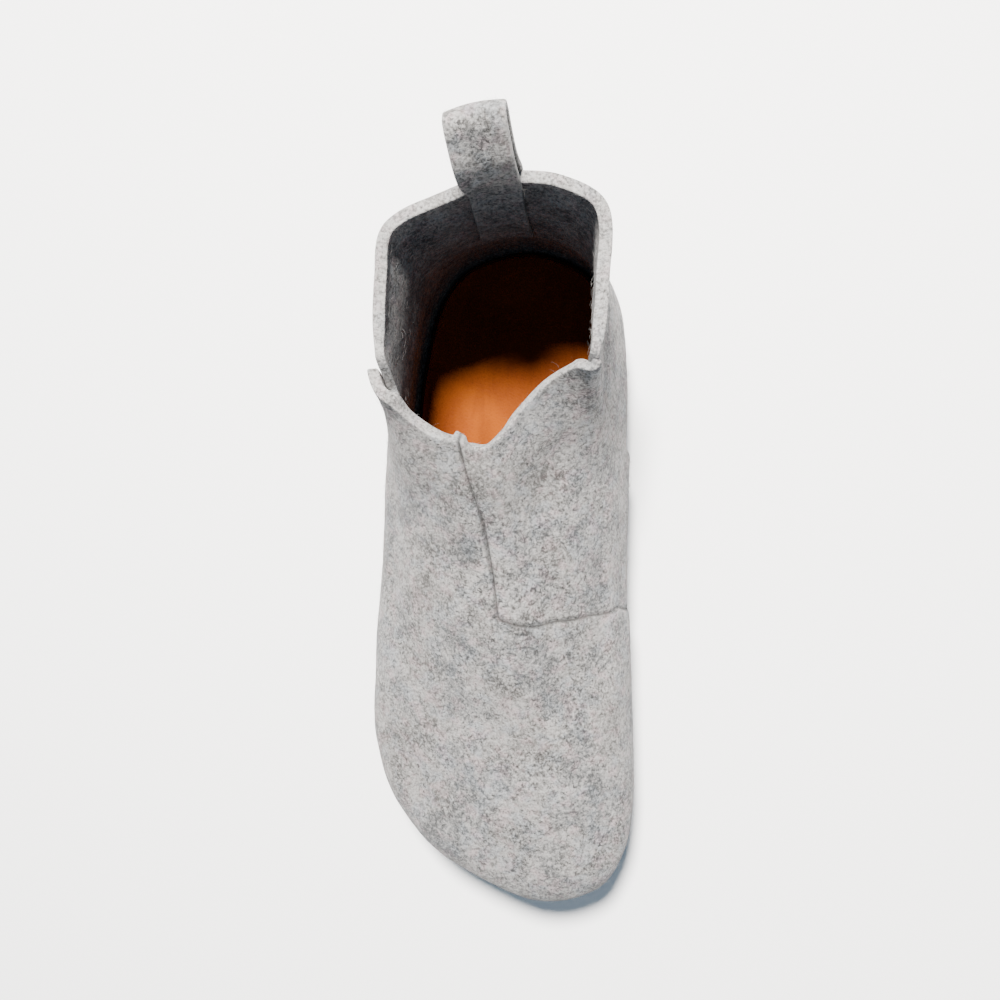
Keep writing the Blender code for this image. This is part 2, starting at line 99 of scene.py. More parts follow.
# Sizes of the finish
FLAP_COLUMNS = 264
FLAP_ROWS = 184
QUARTER_COLUMNS = 200
QUARTER_ROWS = 118
LOOP_ASIDE = 0.0032
LOOP_LEAN_LOW = 0.0
LOOP_LEAN_TOP = 42.0
FELT_ROUND = 0.0007
FELT_THIN = 0.0010
LAP_FADE = 36.0
OUTER_FLARE = 0.0013
INNER_FLARE = 0.0010
TUCK_DROP = 0.085
SEAM_TURN = 180.0
SEAM_LEAN = ((0.76, 181.5), (0.87, 180.5), (0.94, 178.5), (1.00, 170.5))
SEAM_PULL = 0.0019
SEAM_PULL_WIDE = 0.0050
SEAM_VALLEY = 0.0006
SEAM_VALLEY_WIDE = 0.0030
SEAM_CUT = 0.0013
SEAM_CUT_WIDE = 0.00055
ALLOWANCE = 0.0042
ALLOWANCE_WIDE = 0.0029
SEAM_LUMP = 0.0020
LAP_EDGE = 0.00020
TOE_TUCK = 0.0010
RIM_SWELL = 0.0006
RIM_SWELL_TALL = 0.0065
TOE_TUCK_TURN = 190.0
LAP_GROOVE = 0.0007
LAP_PROUD = 0.0012
FIBRE_LONG = 0.0046
FIBRE_THICK = 0.000032
FIBRES = {"back_quarter": 2450, "front_flap": 4080, "heel_loop": 440}

# Sizes of the studio: the floor, the pale surround and the one soft panel over the heel
FLOOR_HALF = 3.0
FLOOR_WHITE = (0.93, 0.93, 0.93, 1.0)
SURROUND_COLOUR = (0.62, 0.80, 1.0, 1.0)
SURROUND_STRENGTH = 0.38
PANEL_SPOT = (-0.03, 0.72, 1.50)
PANEL_SIZE = 0.30
PANEL_POWER = 168.0
PANEL_COLOUR = (1.0, 0.965, 0.92)
PANEL_AIM = (0.0, 0.0, 0.05)

# Edge of the sole and mouth of the collar at the same turns, as shares of the sole's
# and the collar's sizes; step is a share of the tread's step in from the edge.
Landmark = namedtuple("Landmark", "turn along across step mouth_along mouth_across")
LANDMARKS = [
    Landmark(0.0, 0.000, 0.000, 1.10, 0.005, 0.030),
    Landmark(22.5, 0.028, -0.245, 0.85, 0.072, -0.190),
    Landmark(45.0, 0.092, -0.372, 0.65, 0.195, -0.452),
    Landmark(67.5, 0.192, -0.426, 0.60, 0.400, -0.492),
    Landmark(90.0, 0.320, -0.452, 0.60, 0.690, -0.494),
    Landmark(112.5, 0.490, -0.480, 0.55, 0.845, -0.420),
    Landmark(135.0, 0.665, -0.502, 0.50, 0.925, -0.325),
    Landmark(150.0, 0.790, -0.484, 0.50, 0.960, -0.235),
    Landmark(162.0, 0.884, -0.374, 0.65, 0.976, -0.172),
    Landmark(172.0, 0.957, -0.160, 0.90, 0.986, -0.132),
    Landmark(180.0, 0.999, 0.130, 1.05, 0.995, -0.095),
    Landmark(190.0, 0.978, 0.388, 0.80, 0.998, -0.015),
    Landmark(200.0, 0.922, 0.486, 0.65, 0.940, 0.070),
    Landmark(212.0, 0.840, 0.508, 0.65, 0.850, 0.145),
    Landmark(225.0, 0.730, 0.487, 0.75, 0.752, 0.235),
    Landmark(247.5, 0.510, 0.432, 1.00, 0.680, 0.365),
    Landmark(270.0, 0.320, 0.407, 1.00, 0.645, 0.468),
    Landmark(292.5, 0.192, 0.392, 1.00, 0.380, 0.492),
    Landmark(315.0, 0.092, 0.348, 1.00, 0.115, 0.482),
    Landmark(337.5, 0.028, 0.235, 1.00, 0.012, 0.290),
]

# The felt's rings in five directions: way from sole to collar in plan, rise as a
# share of the size it follows, swell as a share of the felt's bulge.
DIRECTIONS = (0.0, 90.0, 135.0, 162.0, 180.0)
Ring = namedtuple("Ring", "name follows way rise swell")
RINGS = [
    Ring("edge", TOE_BOX_RISE, (0.00, 0.00, 0.00, 0.000, 0.000), (0.00, 0.00, 0.00, 0.00, 0.00),
         (0.00, 0.00, 0.00, 0.00, 0.00)),
    Ring("bulge", TOE_BOX_RISE, (0.00, 0.00, 0.00, 0.000, 0.000), (0.48, 0.52, 0.52, 0.38, 0.33),
         (0.80, 0.60, 0.75, 0.30, 0.00)),
    Ring("shoulder", TOE_BOX_RISE, (0.15, 0.11, 0.050, 0.038, 0.032), (1.02, 1.02, 0.90, 0.74, 0.72),
         (0.40, -0.20, 0.30, 0.10, -0.10)),
    Ring("toe box", TOE_BOX_RISE, (0.30, 0.25, 0.18, 0.180, 0.190), (1.60, 1.55, 1.20, 1.00, 1.03),
         (-0.70, -1.00, 0.00, 0.00, 0.00)),
    Ring("vamp", INSTEP_RISE, (0.50, 0.46, 0.40, 0.420, 0.440), (1.03, 0.94, 0.72, 0.65, 0.65),
         (-1.70, -1.60, -0.20, 0.00, 0.00)),
    Ring("instep", INSTEP_RISE, (0.75, 0.73, 0.69, 0.700, 0.715), (1.40, 1.27, 1.10, 0.98, 0.97),
         (-1.40, -1.30, -0.20, 0.00, 0.00)),
]
COLLAR_TURNS = (0.0, 45.0, 90.0, 135.0, 180.0)
COLLAR_TO_BACK = (1.00, 0.92, 0.00, 0.00, 0.00)
COLLAR_TO_FRONT = (0.00, 0.00, 0.00, 0.72, 1.00)
MIDSOLE_WALL = ((0.00, 0.00), (0.10, 0.22), (0.38, 0.58), (0.72, 0.90), (0.93, 1.00), (1.00, 0.93))
BED_TURNS = (0.0, 60.0, 120.0, 180.0, 225.0, 260.0, 300.0)
BED_EDGE = (1.00, 0.92, 0.42, 0.25, 0.35, 0.75, 0.95)
LAP_LINE = ((180.0, 0.800), (194.0, 0.780), (206.0, 0.747), (218.0, 0.695), (226.0, 0.635), (232.5, 0.560),
            (237.5, 0.465), (240.5, 0.370), (242.6, 0.210), (243.6, 0.060), (244.2, -0.060))

# Creases of the felt: soft lines from one place to another (turn, rise) with a
# width and a depth; a negative depth is a ridge.
Crease = namedtuple("Crease", "name start end width depth")
CREASES = [
    Crease("ankle hollow across the front", (142.0, 0.85), (226.0, 0.86), 0.0170, 0.0030),
    Crease("inner hollow under the rim", (188.0, 0.91), (224.0, 0.90), 0.0130, 0.0026),
    Crease("inner hollow beside the seam", (202.0, 1.00), (196.0, 0.68), 0.0120, 0.0030),
    Crease("inner flank hollow", (232.0, 0.96), (212.0, 0.66), 0.0150, 0.0022),
    Crease("inner ridge beside the hollow", (216.0, 0.60), (236.0, 0.36), 0.0140, -0.0010),
    Crease("outer flank hollow", (118.0, 0.95), (140.0, 0.60), 0.0160, 0.0012),
    Crease("outer roll beside the seam", (166.0, 0.98), (170.0, 0.80), 0.0100, -0.0007),
    Crease("ankle fold, outer side", (62.0, 0.62), (98.0, 0.50), 0.0090, 0.0010),
    Crease("ankle fold, inner side", (298.0, 0.64), (262.0, 0.50), 0.0090, 0.0011),
    Crease("heel fold", (338.0, 0.60), (18.0, 0.56), 0.0080, 0.0008),
    Crease("vamp break, outer side", (136.0, 0.36), (170.0, 0.50), 0.0110, 0.0009),
    Crease("vamp break, inner side", (224.0, 0.34), (192.0, 0.48), 0.0110, 0.0008),
]


def smooth(knots, values, at, period=None):
    """Cubic curve through values at the knots; its slope at a knot follows both neighbours."""
    knots = np.asarray(knots, float)
    values = np.asarray(values, float)
    at = np.asarray(at, float)
    if period:
        at = np.mod(at - knots[0], period) + knots[0]
        knots = np.concatenate([knots[-3:] - period, knots, knots[:3] + period])
        values = np.concatenate([values[-3:], values, values[:3]])
    slope = np.gradient(values, knots, axis=0)
    i = np.clip(np.searchsorted(knots, at, side="right") - 1, 0, len(knots) - 2)
    gap = knots[i + 1] - knots[i]
    t = (at - knots[i]) / gap
    if values.ndim == 2:
        t = t[..., None]
        gap = gap[..., None]
    start = values[i] * (2 * t**3 - 3 * t**2 + 1) + slope[i] * gap * (t**3 - 2 * t**2 + t)
    end = values[i + 1] * (3 * t**2 - 2 * t**3) + slope[i + 1] * gap * (t**3 - t**2)
    return start + end


def ease(value, low, high):
    """0 below low, 1 above high and a soft step between."""
    t = np.clip((value - low) / (high - low), 0.0, 1.0)
    return t * t * (3 - 2 * t)


def on_both_sides(turn):
    """Turn folded onto one side of the shoe: 0 at the back, 180 at the toe."""
    return 180.0 - np.abs(np.mod(turn, 360.0) - 180.0)


def spring(along):
    """Height of the ground line: flat from heel to ball, up at the toe and a little at the heel."""
    share = along / SOLE_LENGTH
    toe = np.clip((share - SPRING_START) / (1 - SPRING_START), 0.0, None)
    heel = np.clip((ROLL_END - share) / ROLL_END, 0.0, None)
    return TOE_SPRING * toe**2 + HEEL_ROLL * heel**2


def stack(along):
    """Height of the midsole's top: a wedge from the heel down to the ball, lifted by the spring."""
    wedge = ease(along / SOLE_LENGTH, WEDGE_START, WEDGE_END)
    return spring(along) + HEEL_STACK + (BALL_STACK - HEEL_STACK) * wedge


TURNS = [mark.turn for mark in LANDMARKS]
SOLE_PLAN = np.array([(mark.along * SOLE_LENGTH, mark.across * BALL_WIDTH) for mark in LANDMARKS])
COLLAR_PLAN = np.array([(mark.mouth_along * COLLAR_LENGTH + COLLAR_SET_IN,
                         mark.mouth_across * COLLAR_WIDTH + COLLAR_SKEW) for mark in LANDMARKS])
TREAD_STEPS = [mark.step * TREAD_STEP for mark in LANDMARKS]


def outward(turn):
    """Unit vector out of the sole's edge, in plan, square to the edge."""
    ahead = smooth(TURNS, SOLE_PLAN, np.asarray(turn) + 1.0, period=360.0)
    behind = smooth(TURNS, SOLE_PLAN, np.asarray(turn) - 1.0, period=360.0)
    tangent = ahead - behind
    tangent = tangent / np.linalg.norm(tangent, axis=-1, keepdims=True)
    return np.stack([tangent[..., 1], -tangent[..., 0]], axis=-1)


def sole_edge(turn, inset=0.0):
    """Edge of the sole at each turn, moved in by inset: columns along and across."""
    return smooth(TURNS, SOLE_PLAN, turn, period=360.0) - outward(turn) * np.asarray(inset)[..., None]


def collar_height(turn):
    """Height of the collar's top line."""
    side = on_both_sides(turn)
    back = np.clip(smooth(COLLAR_TURNS, COLLAR_TO_BACK, side), 0, None)
    front = np.clip(smooth(COLLAR_TURNS, COLLAR_TO_FRONT, side), 0, None)
    height = COLLAR_SIDE_HEIGHT + (COLLAR_BACK_HEIGHT - COLLAR_SIDE_HEIGHT) * back
    return height + (COLLAR_FRONT_HEIGHT - COLLAR_SIDE_HEIGHT) * front


def place(along, across, height):
    """Points in metres from along, across and height, before the shoe is set in its frame."""
    return np.stack([across, SOLE_LENGTH / 2 - along, height], axis=-1)


def up_the_rings(rings, rise):
    """Point at each rise on the smooth curve through that point's own rings."""
    last = len(rings) - 1
    slope = np.gradient(rings, 1.0 / last, axis=0)
    at = np.clip(rise, 0.0, 1.0) * last
    i = np.clip(at.astype(int), 0, last - 1)
    t = (at - i)[..., None]
    low = np.take_along_axis(rings, i[None, ..., None], axis=0)[0]
    high = np.take_along_axis(rings, i[None, ..., None] + 1, axis=0)[0]
    low_slope = np.take_along_axis(slope, i[None, ..., None], axis=0)[0] / last
    high_slope = np.take_along_axis(slope, i[None, ..., None] + 1, axis=0)[0] / last
    start = low * (2 * t**3 - 3 * t**2 + 1) + low_slope * (t**3 - 2 * t**2 + t)
    return start + high * (3 * t**2 - 2 * t**3) + high_slope * (t**3 - t**2)


def felt_face(turn, rise):
    """Outer face of the felt: rings between the sole's edge and the collar, joined smoothly."""
    turn, rise = np.broadcast_arrays(np.asarray(turn, float), np.asarray(rise, float))
    side = on_both_sides(turn)
    foot = sole_edge(turn, -OVERHANG)
    mouth = smooth(TURNS, COLLAR_PLAN, turn, period=360.0)
    out = outward(turn)
    base = stack(foot[..., 0]) + FIT
    rings = []
    for ring in RINGS:
        way = smooth(DIRECTIONS, ring.way, side)[..., None]
        swell = smooth(DIRECTIONS, ring.swell, side)[..., None] * BULGE
        plan = foot + (mouth - foot) * way + out * swell
        height = base + smooth(DIRECTIONS, ring.rise, side) * ring.follows
        rings.append(place(plan[..., 0], plan[..., 1], height))
    rings.append(place(mouth[..., 0], mouth[..., 1], collar_height(turn)))
    return up_the_rings(np.stack(rings), rise)


def felt_frame(turn, rise):
    """Unit vector out of the felt, and metres per degree of turn and per unit of rise."""
    around = felt_face(turn + 0.5, rise) - felt_face(turn - 0.5, rise)
    low = np.maximum(rise - 0.01, 0.0)
    high = np.minimum(rise + 0.01, 1.0)
    up = (felt_face(turn, high) - felt_face(turn, low)) / (high - low)[..., None]
    normal = np.cross(around, up)
    normal = normal / np.linalg.norm(normal, axis=-1, keepdims=True)
    return normal, np.linalg.norm(around, axis=-1), np.linalg.norm(up, axis=-1)


def lap_path():
    """Turns and rises along the line where the vamp laps over the inner side's panel."""
    turns, rises = zip(*LAP_LINE)
    knots = np.arange(len(LAP_LINE))
    at = np.linspace(0.0, knots[-1], 480)
    return smooth(knots, turns, at), smooth(knots, rises, at)


def lap_line(turn):
    """Rise of the lap at a turn."""
    return np.interp(turn, *lap_path())


def from_flap_edge(turn):
    """Degrees from the nearer side edge of the front flap."""
    return np.minimum(turn - FLAP_EDGE, 360.0 - FLAP_EDGE - turn)


def flap_offset(turn, rise):
    """How far the front flap stands off the last where it laps over the back quarter.

    On the outer side it stays a felt's thickness off up to the collar; on the inner
    side its top part runs on straight instead, with the back quarter tucked inside it.
    """
    edge = from_flap_edge(turn)
    inner_side = turn > SEAM_TURN
    lapped = 1.0 - ease(edge, -2.0, LAP_FADE)
    lapped = lapped * (SKIVED + (1.0 - SKIVED) * ease(rise, 0.0, 0.35))
    lapped = lapped * np.where(inner_side, 1.0 - 0.85 * ease(rise, 0.62, 0.92), 1.0)
    free = ease(rise, 0.62, 0.97) * (1.0 - ease(edge, 0.0, 1.8 * UNDERLAP))
    return lapped * (FELT - SEAM_BITE) + free * np.where(inner_side, INNER_FLARE, OUTER_FLARE)


def flap_top(turn):
    """Rise of the front flap's top line, lower at its corners, most at the outer one."""
    top_span = (COLLAR_SIDE_HEIGHT - stack(0.32 * SOLE_LENGTH)) * 1.5
    drop = FLAP_DROP * np.where(turn > SEAM_TURN, 0.35, 1.0)
    return 1.0 - drop / top_span * (1.0 - ease(from_flap_edge(turn), 0.0, 2.0 * UNDERLAP))


def spread(count, dense):
    """Numbers from 0 to 1, closer together round each (centre, width, amount)."""
    t = np.linspace(0.0, 1.0, 2001)
    weight = np.ones_like(t)
    for centre, width, amount in dense:
        weight += amount * np.exp(-((t - centre) / width) ** 2)
    total = np.concatenate([[0.0], np.cumsum((weight[1:] + weight[:-1]) / 2)])
    return np.interp(np.linspace(0.0, 1.0, count), total / total[-1], t)


def lattice(i, j, k, seed):
    """Even, repeatable numbers from 0 to 1 for the corners of a cubic lattice."""
    mixed = (i * 73856093) ^ (j * 19349663) ^ (k * 83492791) ^ (seed * 2654435)
    mixed = (mixed ^ (mixed >> 13)) * 1274126177 & 0x7FFFFFFF
    return (mixed ^ (mixed >> 11)) % 65536 / 65535.0


def lumps(points, size, seed):
    """Smooth noise from -1 to 1 whose lumps are about size across."""
    at = points / size
    cell = np.floor(at).astype(np.int64)
    t = at - cell
    t = t * t * (3 - 2 * t)
    total = 0.0
    for corner in np.ndindex(2, 2, 2):
        share = np.prod(np.where(corner, t, 1 - t), axis=-1)
        total = total + share * lattice(*(cell[..., axis] + corner[axis] for axis in range(3)), seed)
    return total * 2 - 1


def distance_to(points, path):
    """Distance from each point to the nearest of a path's closely spaced points."""
    flat = points.reshape(-1, 3)
    nearest = np.full(len(flat), np.inf)
    for spot in np.array_split(path, max(1, len(path) // 8)):
        gap = np.linalg.norm(flat[:, None] - spot[None], axis=-1).min(axis=1)
        nearest = np.minimum(nearest, gap)
    return nearest.reshape(points.shape[:-1])


def creased(turn, rise, face):
    """Depth that all creases together take off the felt: a soft trough along each line."""
    depth = np.zeros(face.shape[:-1])
    share = np.linspace(0.0, 1.0, 25)
    for crease in CREASES:
        first, last = crease.start[0], crease.end[0]
        last = last + 360.0 if last - first < -180.0 else last
        turns = first + (last - first) * share
        rises = crease.start[1] + (crease.end[1] - crease.start[1]) * share
        path = felt_face(turns, rises)
        depth += crease.depth * np.exp(-((distance_to(face, path) / crease.width) ** 2))
    return depth


def undulation(face):
    """Gentle unevenness of thick felt: large waves and small lumps, in metres."""
    return 0.00055 * lumps(face, 0.034, 3) + 0.00022 * lumps(face, 0.012, 5) + 0.00008 * lumps(face, 0.004, 7)


def pinch(distance):
    """How far each face draws in near a cut edge, so that the edge is rounded."""
    share = np.clip(1.0 - distance / FELT_ROUND, 0.0, 1.0)
    return FELT_ROUND * (1.0 - np.sqrt(1.0 - share**2))


def tucked_in(turn, rise):
    """How far the back quarter is pressed in where the front flap laps over it."""
    under = np.maximum(np.abs(turn), FLAP_EDGE)
    under = np.where(turn < 0.0, 360.0 - under, under)
    depth = np.clip(FELT - flap_offset(under, rise), 0.0, FELT - FELT_THIN)
    return depth * ease(np.abs(turn), FLAP_EDGE, FLAP_EDGE + 2.0)


def back_quarter():
    """Felt round the heel, from under one side of the front flap to under the other."""
    reach = FLAP_EDGE + UNDERLAP
    turn = -reach + 2 * reach * spread(QUARTER_COLUMNS, [(0.0, 0.02, 5.0), (1.0, 0.02, 5.0)])
    top = 1.0 - TUCK_DROP * ease(np.abs(turn), FLAP_EDGE - 1.5, FLAP_EDGE + 7.0)
    rise = spread(QUARTER_ROWS, [(1.0, 0.014, 10.0), (0.0, 0.01, 2.0)])[:, None] * top
    turn = np.broadcast_to(turn, rise.shape)
    face = felt_face(turn, rise)
    normal, per_degree, per_rise = felt_frame(turn, rise)
    tuck = tucked_in(turn, rise)
    drawn = np.minimum(pinch(np.minimum((reach - np.abs(turn)) * per_degree, (top - rise) * per_rise)),
                       0.45 * (FELT - tuck))
    wave = undulation(face) * ease(rise, 0.0, 0.2) - creased(np.mod(turn, 360.0), rise, face)
    swell = rim_swell(rise, top, per_rise) * (1.0 - ease(np.abs(turn), FLAP_EDGE - 12.0, FLAP_EDGE - 3.0))
    outer = face + normal * (wave - tuck - drawn + swell)[..., None]
    inner = face + normal * (wave - FELT + drawn - swell)[..., None]
    return slab("back_quarter", outer, inner, {"edge": cut_edge(rise, top, per_rise)})


def rim_swell(rise, top, per_rise):
    """How much fluffier the felt is on each face towards its cut top edge."""
    return RIM_SWELL * (1.0 - ease((top - rise) * per_rise, 0.0, RIM_SWELL_TALL))


def cut_edge(rise, top, per_rise):
    """1 on the felt's cut top edge, fading within a felt's thickness below it: where the felt gets a painted
    highlight.
    """
    return 1.0 - ease((top - rise) * per_rise, 0.0, 0.55 * FELT)


def front_flap():
    """Felt over the toe, instep and both sides, with its seam, lap, hollows and free corners."""
    crowded = [(0.485, 0.030, 4.0), (0.852, 0.012, 4.0), (0.0, 0.012, 4.0), (1.0, 0.012, 4.0)]
    turn = FLAP_EDGE + 180.0 * spread(FLAP_COLUMNS, crowded)
    columns = []
    for column in turn:
        top = float(flap_top(np.array(column)))
        lap = float(lap_line(np.array(column))) / top
        crowd = 12.0 * float(ease(column, SEAM_TURN - 14.0, SEAM_TURN - 2.0) * ease(lap, -0.06, 0.20))
        dense = [(1.0, 0.012, 9.0), (0.0, 0.01, 2.0), (lap, 0.013, crowd)]
        columns.append(spread(FLAP_ROWS, dense) * top)
    rise = np.array(columns).T
    turn = np.broadcast_to(turn[None, :], rise.shape)
    top = flap_top(turn)
    face = felt_face(turn, rise)
    normal, per_degree, per_rise = felt_frame(turn, rise)
    drawn = pinch(np.minimum(from_flap_edge(turn) * per_degree, (top - rise) * per_rise))
    wave = undulation(face) * ease(rise, 0.0, 0.2) - creased(turn, rise, face)
    from_seam = (turn - seam_turn(rise)) * per_degree
    sewn = ease(rise, lap_line(np.array(SEAM_TURN)) - 0.03, lap_line(np.array(SEAM_TURN)) + 0.01)
    seam, seam_cut_shade = seam_depth(from_seam, rise, sewn)
    step, lap_groove_shade = vamp_step(turn, rise, face)
    offset = flap_offset(turn, rise)
    swell = rim_swell(rise, top, per_rise) * ease(from_flap_edge(turn), 6.0, 20.0)
    outer_lift = offset + wave - drawn - seam + step + swell
    inner_lift = offset + wave - FELT + drawn - swell
    inner_lift -= seam_allowance(from_seam, sewn) + 0.6 * pulled_in(from_seam, rise)
    flat = normal * (1.0, 1.0, 0.0)
    normal = flat + (normal - flat) * ease(rise, 0.0, 0.12)[..., None]
    lump = SEAM_LUMP * np.exp(-((from_seam / ALLOWANCE_WIDE) ** 4)) * ease(rise, 0.93, 1.0)
    up = np.array([0.0, 0.0, 1.0])
    outer = face + normal * outer_lift[..., None] + up * lump[..., None]
    inner = face + normal * inner_lift[..., None] + up * lump[..., None]
    # The seam mark carries painted shade for the seam's cut and the lap's groove
    marks = {"edge": cut_edge(rise, top, per_rise), "seam": np.maximum(seam_cut_shade, lap_groove_shade)}
    return slab("front_flap", outer, inner, marks)


def seam_turn(rise):
    """Turn of the front seam, which leans to the outer side towards the collar."""
    rises, turns = zip(*SEAM_LEAN)
    return smooth(rises, turns, np.clip(rise, rises[0], rises[-1]))


def pulled_in(from_seam, rise):
    """Depth by which the seam draws the felt in towards the collar."""
    return SEAM_PULL * np.exp(-((from_seam / SEAM_PULL_WIDE) ** 2)) * ease(rise, 0.84, 1.0)


def seam_depth(from_seam, rise, sewn):
    """Depth of the closed front seam, and the painted shade in its cut: a valley with a sharp line in it."""
    valley = SEAM_VALLEY * np.exp(-((from_seam / SEAM_VALLEY_WIDE) ** 2))
    # The cut is a dip in the felt and also the mask of painted shade along the seam's line
    cut = np.exp(-((from_seam / SEAM_CUT_WIDE) ** 2)) * sewn
    return pulled_in(from_seam, rise) + valley * sewn + SEAM_CUT * cut, cut


def seam_allowance(from_seam, sewn):
    """Thickness that the seam's turned edges add inside, a ridge down the front."""
    return ALLOWANCE * np.exp(-((from_seam / ALLOWANCE_WIDE) ** 6)) * sewn


def vamp_step(turn, rise, face):
    """How far the felt stands proud of the inner panel, and the painted shade along the lap's edge.

    The vamp laps over the panel: a cut edge follows the lap line from the seam's foot
    round the inner side, with a fine groove along it where the panel goes under.
    """
    turns, rises = lap_path()
    path = felt_face(turns[rises >= 0.0], rises[rises >= 0.0])
    beyond = np.sign(turn - np.interp(rise, rises[::-1], turns[::-1]))
    distance = distance_to(face, path) * beyond
    inner_side = ease(turn, SEAM_TURN - 1.5, SEAM_TURN + 1.5)
    panel = ease(distance, -LAP_EDGE, LAP_EDGE) * inner_side
    groove = np.exp(-(((distance - LAP_GROOVE) / LAP_GROOVE) ** 2)) * inner_side
    # Painted shade in the groove where the panel goes under the lap
    dark = np.exp(-(((distance - 0.5 * LAP_GROOVE) / (0.8 * LAP_GROOVE)) ** 2)) * inner_side
    rounded = 0.0004 * np.exp(-np.abs(distance) / 0.0008) * (distance < 0.0) * inner_side
    proud = LAP_STEP + (LAP_PROUD - LAP_STEP) * np.exp(-np.abs(distance) / 0.006) * inner_side
    proud = proud * ease(rise, 0.0, 0.3)
    return proud * (1.0 - panel) - 0.0005 * groove - rounded - toe_tuck(turn, rise), dark


def toe_tuck(turn, rise):
    """Depth by which the felt draws in above the sole at the big toe, where the rim shows."""
    there = np.exp(-(((turn - TOE_TUCK_TURN) / 16.0) ** 2))
    return TOE_TUCK * there * (1.0 - ease(rise, 0.04, 0.40))


def slab(name, outer, inner, marks):
    """Closed piece between two faces on one grid; each mark has a number for every point of it."""
    rows, columns = outer.shape[:2]
    count = rows * columns
    points = np.concatenate([outer.reshape(-1, 3), inner.reshape(-1, 3)])
    index = np.arange(count).reshape(rows, columns)
    a, b, c, d = index[:-1, :-1], index[:-1, 1:], index[1:, 1:], index[1:, :-1]
    faces = [np.stack([a, b, c, d], -1).reshape(-1, 4), np.stack([a, d, c, b], -1).reshape(-1, 4) + count]
    rim = np.concatenate([index[0, :-1], index[:-1, -1], index[-1, :0:-1], index[:0:-1, 0]])
    ahead = np.roll(rim, -1)
    faces.append(np.stack([rim, rim + count, ahead + count, ahead], -1))
    doubled = {key: np.tile(mark.reshape(-1), 2) for key, mark in marks.items()}
    return skin(name, points, np.concatenate(faces), doubled)


def pad(name, rings, top_height, bottom_height, top_columns, bottom_columns):
    """Closed piece inside a stack of rings, bottom first, with a grid across each end."""
    rows, count = rings.shape[:2]
    index = np.arange(rows * count).reshape(rows, count)
    points = [rings.reshape(-1, 3)]
    low, high = index[:-1], index[1:]
    quads = [np.stack([low, high, np.roll(high, -1, 1), np.roll(low, -1, 1)], -1).reshape(-1, 4)]
    triangles = []
    filled = rows * count
    half = count // 2
    ends = ((index[-1], rings[-1], top_height, top_columns, 1),
            (index[0], rings[0], bottom_height, bottom_columns, -1))
    for start, ring, height_at, columns, order in ends:
        across = np.linspace(-1.0, 1.0, columns + 2)[None, 1:-1]
        share = (across[..., None] + 1) / 2
        inside = ring[1:half, None] * (1 - share) + ring[:half:-1, None] * share
        inside[..., 2] = height_at(inside, np.broadcast_to(across, inside.shape[:2]))
        points.append(inside.reshape(-1, 3))
        middle = filled + np.arange((half - 1) * columns).reshape(half - 1, columns)
        filled += (half - 1) * columns
        grid = np.concatenate([start[1:half, None], middle, start[:half:-1, None]], axis=1)
        quad = np.stack([grid[:-1, :-1], grid[1:, :-1], grid[1:, 1:], grid[:-1, 1:]], -1).reshape(-1, 4)
        heel = np.stack([np.full(columns + 1, start[0]), grid[0, :-1], grid[0, 1:]], -1)
        toe = np.stack([np.full(columns + 1, start[half]), grid[-1, 1:], grid[-1, :-1]], -1)
        quads.append(quad[:, ::order])
        triangles += [heel[:, ::order], toe[:, ::order]]
    faces = np.concatenate(quads).tolist() + np.concatenate(triangles).tolist()
    return skin(name, np.concatenate(points), faces, {})


def skin(name, points, faces, marks):
    """Mesh object with smooth shading, its faces outward and one number per point for each mark."""
    mesh = bpy.data.meshes.new(name)
    faces = faces.tolist() if isinstance(faces, np.ndarray) else faces
    mesh.from_pydata((np.asarray(points) + SHIFT).tolist(), [], faces)
    volume = signed_volume(mesh)
    if volume < 0:
        mesh.flip_normals()
    for mark, numbers in marks.items():
        layer = mesh.attributes.new(mark, "FLOAT", "POINT")
        layer.data.foreach_set("value", np.asarray(numbers, np.float32))
    mesh.shade_smooth()
    piece = bpy.data.objects.new(name, mesh)
    bpy.context.scene.collection.objects.link(piece)
    return piece


def signed_volume(mesh):
    """Volume inside a closed mesh, negative where its faces point inward."""
    mesh.calc_loop_triangles()
    corners = np.empty(len(mesh.loop_triangles) * 3, np.int32)
    mesh.loop_triangles.foreach_get("vertices", corners)
    points = np.empty(len(mesh.vertices) * 3)
    mesh.vertices.foreach_get("co", points)
    a, b, c = points.reshape(-1, 3)[corners].reshape(-1, 3, 3).transpose(1, 0, 2)
    return np.einsum("ij,ij->i", a, np.cross(b, c)).sum() / 6


def sole_ring(turn, inset, height_at):
    """Ring of points on the sole's edge moved in by inset, at a height that follows along."""
    plan = sole_edge(turn, inset)
    return place(plan[:, 0], plan[:, 1], height_at(plan[:, 0]))


def along_of(points):
    """Along of points that are already placed."""
    return SOLE_LENGTH / 2 - points[..., 1]


def set_in_frame():
    """Shift from the shoe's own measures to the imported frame, read from the midsole's box."""
    ring = sole_ring(np.arange(0.0, 360.0, FRAME_STEP), np.zeros(int(360 / FRAME_STEP)), stack)
    low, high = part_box("midsole")
    return np.array([(low.x + high.x) / 2 - (ring[:, 0].min() + ring[:, 0].max()) / 2,
                     (low.y + high.y) / 2 - (ring[:, 1].min() + ring[:, 1].max()) / 2, 0.0])


